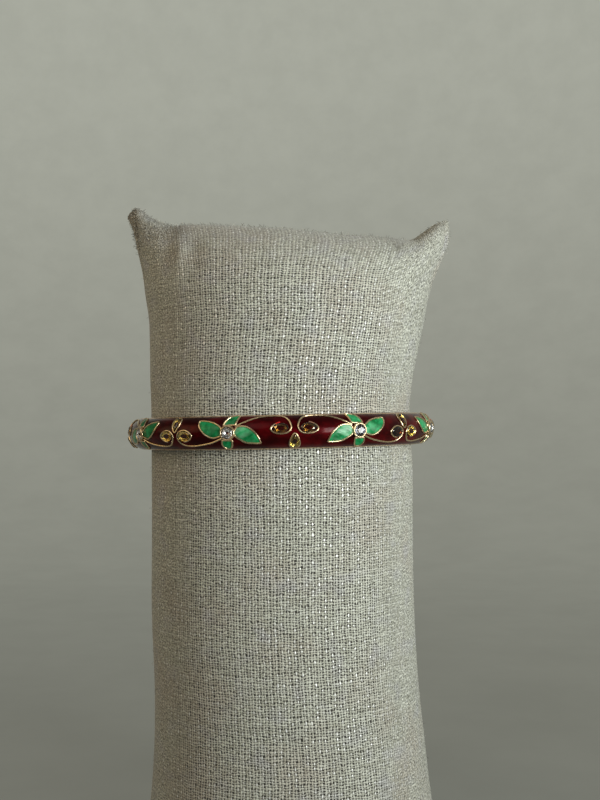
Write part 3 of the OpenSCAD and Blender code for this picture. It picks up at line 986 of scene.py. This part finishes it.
slub = noise(given["Vector"], 1300.0, 1.0)
swell = ramp(slub, 0.3, 0.7, 0.8, 1.2)
warp_up = thread(in_warp, mul(lerp(warp_tone, 0.32, 0.37), swell), in_weft, over)
weft_up = thread(in_weft, mul(lerp(weft_tone, 0.29, 0.34), swell), in_warp, mul(over, -1.0))
top = calc("MAXIMUM", warp_up, weft_up)
on_warp = calc("GREATER_THAN", warp_up, weft_up)
link(lerp(0.75, lerp(on_warp, weft_tone, warp_tone), crossing), out["Tone"])
corner = vector(calc("ROUND", across), calc("ROUND", up), 3.0)
corner = shade("TexWhiteNoise", {"Vector": corner}, noise_dimensions="3D")
# the lower the threads lie, the darker the hole: painted shade between the threads
link(mul(ramp(top, 0.27, 0.82, 1.0, 0.0), lerp(corner, 0.75, 1.25)), out["Hole"])
# the silver runs in every second warp thread and shows where that thread passes over
shows = mul(mul(on_warp, second_warp), ramp(warp_up, 0.62, 0.9))
link(mul(shows, calc("LESS_THAN", crossing, given["Glints"])), out["Glint"])
link(top, out["Height"])
print("group:", weave.name)

# %% Material: linen
linen, bsdf = finish(
    "linen", Roughness=0.85, Sheen_Weight=0.25, Sheen_Roughness=0.5, Specular_IOR_Level=0.25)
cover_map = shade("UVMap", uv_map="cover")
cloth = place_group(weave, {"Vector": cover_map})
body_spot = own_place()
patch = noise(body_spot, 70.0, 3.0)
sparse = noise(cover_map, 330.0, 2.0)
# rubbing has raised a nap that closes the weave on the flanks and along the seams
nap = mark_of("nap")
thread_colour = tint(cloth["Tone"], (0.41, 0.405, 0.335, 1), (0.72, 0.725, 0.64, 1))
thread_colour = tint(ramp(patch, 0.42, 0.72, 0.0, 0.45), thread_colour, (0.50, 0.42, 0.35, 1))
silvery = noise(cover_map, 190.0, 2.0)
thread_colour = tint(ramp(silvery, 0.5, 0.75, 0.0, 0.5), thread_colour, (0.54, 0.53, 0.56, 1))
speckle = noise(cover_map, 2400.0, 3.0, 0.7)
rubbed = lerp(nap, 1.0, ramp(speckle, 0.34, 0.66, 0.22, 1.34))
thread_colour = tint(1.0, thread_colour, rubbed, "MULTIPLY")
# painted shade: the colour is darkened in the seams, under the top seam and in the tucks
seam = mark_of("seam")
thread_colour = tint(mul(seam, 0.75), thread_colour, (0.10, 0.085, 0.065, 1))
open_share = mul(cloth["Hole"], lerp(nap, 1.0, 0.3))
# the holes are painted near black: painted shade inside the cover, seen between the threads
holed = tint(open_share, thread_colour, (0.035, 0.032, 0.026, 1))
glint = mul(cloth["Glint"], ramp(sparse, 0.38, 0.6, 0.25, 1.0))
link(tint(glint, holed, (0.96, 0.96, 0.95, 1)), bsdf["Base Color"])
link(mul(glint, 0.6), bsdf["Metallic"])
link(lerp(glint, 0.85, 0.36), bsdf["Roughness"])
fibre = noise(cover_map, 9000.0, 2.0, 0.7)
relief = mul_add(fibre, 0.35, mul(cloth["Height"], lerp(nap, 1.0, 0.5)))
bump = shade("Bump", {"Strength": 1.0, "Distance": 0.00013, "Height": relief})
link(bump, bsdf["Normal"])
print("material:", linen.name)

# %% [markdown]
# ## The pillow
# The cover is two panels sewn together along the sides and the top and stuffed hard, so it is
# nearly round where the bangle sits, and flattens to a seam on top that ends in two soft ears. A
# grid of columns and rows is the right start: its columns are the warp, so the cloth's map comes with
# it. The rows repeat the sections of the CAD solid. Cloth simulation then blows the cover
# up a little, and each point may move only so far and not at all where the bangle holds it.

# %% Sections of the pillow, in mm over the bangle's middle
ROWS = np.array([
    # height, left, right, depth share, how far it follows the top seam
    (-90, -28.4, 32.9, 0.93, 0), (-88.6, -29.4, 34.0, 0.97, 0), (-85, -29.5, 34.1, 0.99, 0),
    (-78, -28.8, 33.1, 1, 0), (-68, -28.3, 32.0, 1, 0), (-56, -28.3, 30.7, 1, 0),
    (-40, -29.0, 29.8, 1, 0), (-22, -29.0, 29.5, 1, 0), (-8, -29.1, 29.5, 1, 0),
    (4, -29.2, 28.8, 1, 0), (12, -29.5, 29.6, 0.985, 0),
    (19, -29.6, 31.0, 0.98, 0), (25, -29.9, 32.3, 0.955, 0.05), (30, -30.8, 33.3, 0.91, 0.15),
    (34.5, -31.5, 34.8, 0.83, 0.3), (38.5, -32.7, 36.8, 0.72, 0.5), (41.5, -33.5, 38.1, 0.58, 0.7),
    (44, -34.5, 38.15, 0.38, 0.9), (45.6, -35.0, 38.2, 0.04, 1),
])
SEAM = np.array([
    (-35.0, 47.9), (-34.6, 49.2), (-33.6, 50.3), (-32.5, 50.5), (-31.3, 49.7), (-30.2, 48.6),
    (-28.5, 47.6), (-26.5, 46.8), (-24.6, 46.2), (-22.2, 46.6), (-15.5, 46.5), (-7.6, 45.9), (1.9, 45.3),
    (12.3, 44.2),
    (22.7, 43.7), (29.0, 43.3), (31.8, 44.9), (34.5, 46.8), (36.6, 47.7), (38.2, 47.8),
])
SEAM_LEVEL, HALF_DEPTH, MIDDLE_X, BANGLE_Z = 45.6, 30.2, 1.6, 90.0
COLUMNS = 160


def fine_rows():
    """The sections at closer heights, bent smoothly from one to the next."""
    return smooth_line([(k, *row) for k, row in enumerate(ROWS)], 5)[:, 1:]


def seam_height(x):
    """Height of the top seam at a place across the pillow."""
    line = smooth_line([tuple(p) for p in SEAM], 6)
    return np.interp(x, line[:, 0], line[:, 1])


rows = fine_rows()
angle = 2 * np.pi * np.arange(COLUMNS) / COLUMNS
grid = np.zeros((len(rows), COLUMNS, 3))
for r, (height, left, right, share, follow) in enumerate(rows):
    x = (left + right) / 2 + (right - left) / 2 * np.cos(angle)
    grid[r, :, 0] = x - MIDDLE_X
    # towards the top the two panels meet at a sharper angle in the ears
    pinch = np.interp(height, (20, 38), (1, 1.2))
    grid[r, :, 1] = share * HALF_DEPTH * np.sign(np.sin(angle)) * np.abs(np.sin(angle)) ** pinch
    grid[r, :, 2] = BANGLE_Z + height + follow * (seam_height(x) - SEAM_LEVEL)

# %% Tucks, folds and the side seams
FOLDS = [
    # across, height over the bangle, half width, half length, lean in degrees, depth; all in mm
    (-18.6, 39.0, 1.2, 1.0, 0, 0.8), (24.9, 38.6, 1.5, 1.5, 0, 0.9),
    (-21.9, 37.5, 1.0, 5.5, 3, -0.7), (-18.2, 36.0, 1.6, 5.0, 2, 0.5), (-24.8, 38.5, 1.4, 4.5, 4, 0.35),
    (28.7, 35.6, 0.8, 7.0, 41, -0.3), (26.4, 36.6, 1.0, 6.5, 41, 0.3), (31.2, 35.2, 1.0, 6.0, 41, 0.25),
    (5.0, 42.0, 2.2, 1.4, 0, 0.25), (-8.0, 42.3, 1.8, 1.3, 0, 0.25),
]
front = grid[:, :, 1] < 0
across, up = grid[:, :, 0] + MIDDLE_X, grid[:, :, 2] - BANGLE_Z
for x, z, wide, tall, lean, depth in FOLDS:
    c, s = math.cos(math.radians(lean)), math.sin(math.radians(lean))
    a = (across - x) * c - (up - z) * s
    b = (across - x) * s + (up - z) * c
    grid[:, :, 1] += front * depth * np.exp(-(a / wide) ** 2 - (b / tall) ** 2)

SEAM_TURN, SEAM_DEPTH, SEAM_WIDTH = (3, 6), 0.9, 1.0


def from_seams(height):
    """The column of each side seam at a height, left and right, and how far every column is from it."""
    turn = np.interp(height, (32, 45), SEAM_TURN)
    for seam_at in (COLUMNS / 2 + turn, COLUMNS - turn):
        yield seam_at, np.abs((np.arange(COLUMNS) - seam_at + COLUMNS / 2) % COLUMNS - COLUMNS / 2)


for r, (height, left, right, share, follow) in enumerate(rows):
    deep = SEAM_DEPTH * np.interp(height, (28, 40, 45), (0, 1, 0.7))
    for seam_at, off in from_seams(height):
        pull = deep * np.exp(-(off / SEAM_WIDTH) ** 2)
        inwards = np.stack([(left + right) / 2 - MIDDLE_X - grid[r, :, 0], -grid[r, :, 1]], axis=1)
        length = np.linalg.norm(inwards, axis=1, keepdims=True) + 1e-6
        grid[r, :, :2] += inwards / length * pull[:, None]
grid *= MM

# how much a place lies in shade: in the side seams of the ears, under the seam on top, or in a tuck
SHADE = [
    # across, height over the bangle and size in mm, and share of shade
    (24.9, 40.0, 1.5, 0.4), (-22.0, 43.8, 1.5, 0.4), (-18.5, 40.0, 1.2, 0.25),
]
painted_seam_shade = np.zeros(grid.shape[:2])
for r, height in enumerate(rows[:, 0]):
    for seam_at, off in from_seams(height):
        # the painted shade is strong in the left seam, on the shaded side, and weak in the right one
        strength = 1.0 if seam_at < COLUMNS * 0.75 else 0.2
        painted_seam_shade[r] += strength * np.interp(height, (26, 38), (0, 1)) * np.exp(-(off / 0.8) ** 2)
    on_top = np.interp(seam_height(across[r]) - up[r], (0.3, 1.5, 4, 9), (0.6, 0.38, 0.22, 0))
    on_top *= np.interp(across[r], (27, 31), (1, 0))
    painted_seam_shade[r] = np.maximum(np.minimum(painted_seam_shade[r], 1), on_top)
for x, z, size, share in SHADE:
    painted_seam_shade += front * share * np.exp(-((across - x) ** 2 + (up - z) ** 2) / size ** 2)
print("pillow grid:", grid.shape[:2], "rows and columns")

# %% Make the cover from the grid
EAR_PULL, PULL_FROM, PULL_UP = 0.7, 19, (12, 38)  # mm up for each mm across, from where, at what heights


def cover_mesh(grid):
    """The closed cover, with its map in metres: round the pillow, and up from the foot.
    In the right ear the cloth is pulled to the tip, so its cross threads climb."""
    count, around = grid.shape[:2]
    verts = grid.reshape(-1, 3).tolist()
    wall = [(r * around + k, r * around + (k + 1) % around, (r + 1) * around + (k + 1) % around,
             (r + 1) * around + k) for r in range(count - 1) for k in range(around)]
    last = (count - 1) * around
    half = around // 2
    seam = [(last, last + 1, last + around - 1)]
    seam += [(last + k, last + k + 1, last + around - k - 1, last + around - k)
             for k in range(1, half - 1)]
    seam += [(last + half - 1, last + half, last + half + 1)]
    foot_middle = len(verts)
    inner = grid[0] * (0.5, 0.5, 1)
    verts += inner.tolist() + [[grid[0, :, 0].mean(), 0, grid[0, 0, 2]]]
    pairs = [(k, (k + 1) % around) for k in range(around)]
    foot = [(foot_middle + k, foot_middle + after, after, k) for k, after in pairs]
    foot += [(foot_middle + around, foot_middle + after, foot_middle + k) for k, after in pairs]
    mesh = bpy.data.meshes.new("cover")
    mesh.from_pydata(verts, [], wall + seam + foot)
    girth = np.linalg.norm(np.roll(grid[count // 2], -1, 0) - grid[count // 2], axis=1).sum()
    steps = np.linalg.norm(np.diff(grid, axis=0), axis=2)
    climb = np.vstack([np.zeros(around), np.cumsum(steps, axis=0)])
    cover = mesh.uv_layers.new(name="cover")
    for face in mesh.polygons:
        ks = [v % around for v in face.vertices]
        wraps = max(ks) - min(ks) > half and face.index < len(wall)
        for loop, v in zip(face.loop_indices, face.vertices):
            if v < count * around:
                k = v % around
                x, up = verts[v][0] / MM, verts[v][2] / MM - BANGLE_Z
                pulled = EAR_PULL * MM * max(0, x - PULL_FROM) * np.interp(up, PULL_UP, (0, 1))
                cover.data[loop].uv = ((k + around if wraps and k < half else k) * girth / around,
                                       climb[v // around, k] - pulled)
            else:
                cover.data[loop].uv = (verts[v][0], verts[v][1])
    # the nap is thickest on the flanks, at the seams and in the ears, and the left ear is frayed
    xs = np.array([v.co.x for v in mesh.vertices]) / MM
    zs = np.array([v.co.z for v in mesh.vertices]) / MM - BANGLE_Z
    flank = np.clip((np.abs(xs + 0.7) - 17) / 9, 0, 1)
    ears = np.clip((zs - 38) / 6, 0, 1) * np.interp(xs, (24, 30), (1, 0.6))
    seams = np.pad(painted_seam_shade.ravel(), (0, around + 1))
    hem = np.clip(1.1 + (zs - seam_height(xs + MIDDLE_X)) / 12, 0, 0.9)
    corner = np.clip((zs - 39) / 4, 0, 1) * np.interp(xs, (-27, -22, 27, 34), (1, 0, 0, 0.3))
    fuzz = np.maximum(np.maximum(corner, 0.2 * (seams > 0.5)), 0.006) * (zs > -85)
    # the seam mark is the painted shade; stray fibres also gather where it is strong
    put_marks(mesh, nap=np.maximum(np.maximum(flank, ears), hem), seam=seams, fuzz=fuzz)
    return mesh


pillow = show("linen_pillow", cover_mesh(grid))
print("cover:", len(pillow.data.vertices), "points")

# %% Blow the cover up a little
SEWN_AT = (5, 75)  # columns of the two side seams, counted from the left edge
EARS_FROM = 30  # mm over the bangle
GRIP, FREE_OVER, SWELL = 5, 12, 1.1  # mm: held near the band, freed over this, moved at most
STIFFNESS, PRESSURE = 20, 4


def stuff(piece, frames=20):
    """Runs the cloth simulation and returns where its points ended."""
    pinned = piece.vertex_groups.new(name="sewn")
    z = np.array([v.co.z for v in piece.data.vertices]) / MM
    from_seam = np.abs(np.arange(len(z)) % COLUMNS - COLUMNS / 2)
    holds = [v.index for v in piece.data.vertices
             if z[v.index] < 1 or abs(z[v.index] - BANGLE_Z) < GRIP
             or v.index // COLUMNS == len(rows) - 1
             or (z[v.index] > BANGLE_Z + EARS_FROM
                 and min(abs(from_seam[v.index] - s) for s in SEWN_AT) < 1)]
    pinned.add(holds, 1.0, "REPLACE")
    cloth = piece.modifiers.new("stuffing", "CLOTH")
    for key, value in {
        "quality": 6, "mass": 0.05, "tension_stiffness": STIFFNESS,
        "compression_stiffness": STIFFNESS, "bending_stiffness": 0.2, "use_pressure": True,
        "uniform_pressure_force": PRESSURE, "vertex_group_mass": "sewn",
    }.items():
        setattr(cloth.settings, key, value)
    cloth.settings.effector_weights.gravity = 0
    cloth.point_cache.frame_end = frames
    for f in range(1, frames + 1):
        bpy.context.scene.frame_set(f)
    graph = bpy.context.evaluated_depsgraph_get()
    ended = np.array([v.co for v in piece.evaluated_get(graph).data.vertices])
    piece.modifiers.clear()
    piece.vertex_groups.clear()
    bpy.context.scene.frame_set(1)
    return ended


start = np.array([v.co for v in pillow.data.vertices])
moved = stuff(pillow) - start
far = np.linalg.norm(moved, axis=1, keepdims=True)
from_band = np.abs(start[:, 2:] / MM - BANGLE_Z)
cap = SWELL * MM * np.clip((from_band - GRIP) / FREE_OVER, 0, 1)
ended = start + moved * cap / (cap + far + 1e-9)
pillow.data.vertices.foreach_set("co", ended.ravel())
print(f"stuffing: the simulation moved points up to {far.max() / MM:.2f} mm, and at most "
          f"{np.linalg.norm(ended - start, axis=1).max() / MM:.2f} mm of that is kept")

# %% Round the cover off and give it its finish
smoother = pillow.modifiers.new("round", "SUBSURF")
smoother.levels = smoother.render_levels = 1
cover = made_real(pillow)
pillow.modifiers.clear()
pillow.data = cover
cover.name = "linen_pillow"
cover.materials.append(linen)
cover.shade_smooth()
stand_for(pillow, "linen", "display_pillow")
print("pillow:", len(cover.polygons), "faces")

# %% [markdown]
# ## Stray fibres
# Handling has teased fibres out of the cloth, mostly in the frayed left ear and along the seams,
# and they blur the outline there. They are too fine to draw one by one: the tree scatters points
# over the cover, more of them where the cover's fuzz mark is high, and sets a short bent hair
# on each, turned and sized at random from a fixed seed. Dark and pale fibres are mixed.

# %% Node tree: fibres scattered over the cover
fibre_tree, given, out = new_tree("Stray fibres", "GeometryNodeTree", {
    "Cover": "Geometry", "Fibres per square metre": 4.5e6, "Length": 0.8 * MM,
    "Thickness": 0.05 * MM, "Seed": 7, "Finish": "Material",
}, {"Geometry": "Geometry"})
fuzz = read("fuzz", "FLOAT")
scattered = add("GeometryNodeDistributePointsOnFaces", {
    "Mesh": given["Cover"], "Density": mul(fuzz, given["Fibres per square metre"]),
    "Seed": given["Seed"],
}, distribute_method="RANDOM").outputs
length = given["Length"]
arc_line = geo("CurveQuadraticBezier", {
    "Resolution": 4, "Start": (0, 0, 0), "Middle": vector(0.0, 0.0, mul(length, 0.6)),
    "End": vector(mul(length, 0.7), 0.0, mul(length, 0.45)),
})
section = geo("CurvePrimitiveCircle", {"Resolution": 3, "Radius": mul(given["Thickness"], 0.5)})
hair = geo("CurveToMesh", {"Curve": arc_line, "Profile Curve": section, "Fill Caps": True})
lean = func("RandomValue", {0: (-1.1, -1.1, -3.14), 1: (1.1, 1.1, 3.14), "Seed": given["Seed"]},
           data_type="FLOAT_VECTOR")
turned = func("RotateRotation", {
    "Rotation": scattered["Rotation"], "Rotate By": func("EulerToRotation", {0: lean}),
}, rotation_space="LOCAL")
sized, toned = (
    add("FunctionNodeRandomValue", {
        2: low, 3: high, "Seed": plus(given["Seed"], after),
    }, data_type="FLOAT").outputs[1] for low, high, after in ((0.4, 1.3, 1.0), (0.0, 1.0, 2.0)))
hairs = geo("InstanceOnPoints", {
    "Points": scattered["Points"], "Instance": hair, "Rotation": turned, "Scale": sized,
})
hairs = geo("RealizeInstances", {0: write(hairs, "tone", toned, "FLOAT", "INSTANCE")})
link(geo("SetMaterial", {"Geometry": hairs, "Material": given["Finish"]}), out["Geometry"])

stray_fibre, bsdf = finish("stray_fibre", Roughness=0.7, Specular_IOR_Level=0.3)
tone = mark_of("tone")
spot = own_place()
tone = mul_add(noise(spot, 4000.0, 2.0), 0.3, minus(tone, 0.15))
link(tint(ramp(tone, 0.15, 0.8), (0.06, 0.05, 0.038, 1), (0.62, 0.60, 0.53, 1)),
               bsdf["Base Color"])
fibres = make_piece("stray_fibres", cover, fibre_tree, Finish=stray_fibre)
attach(fibres, "root")
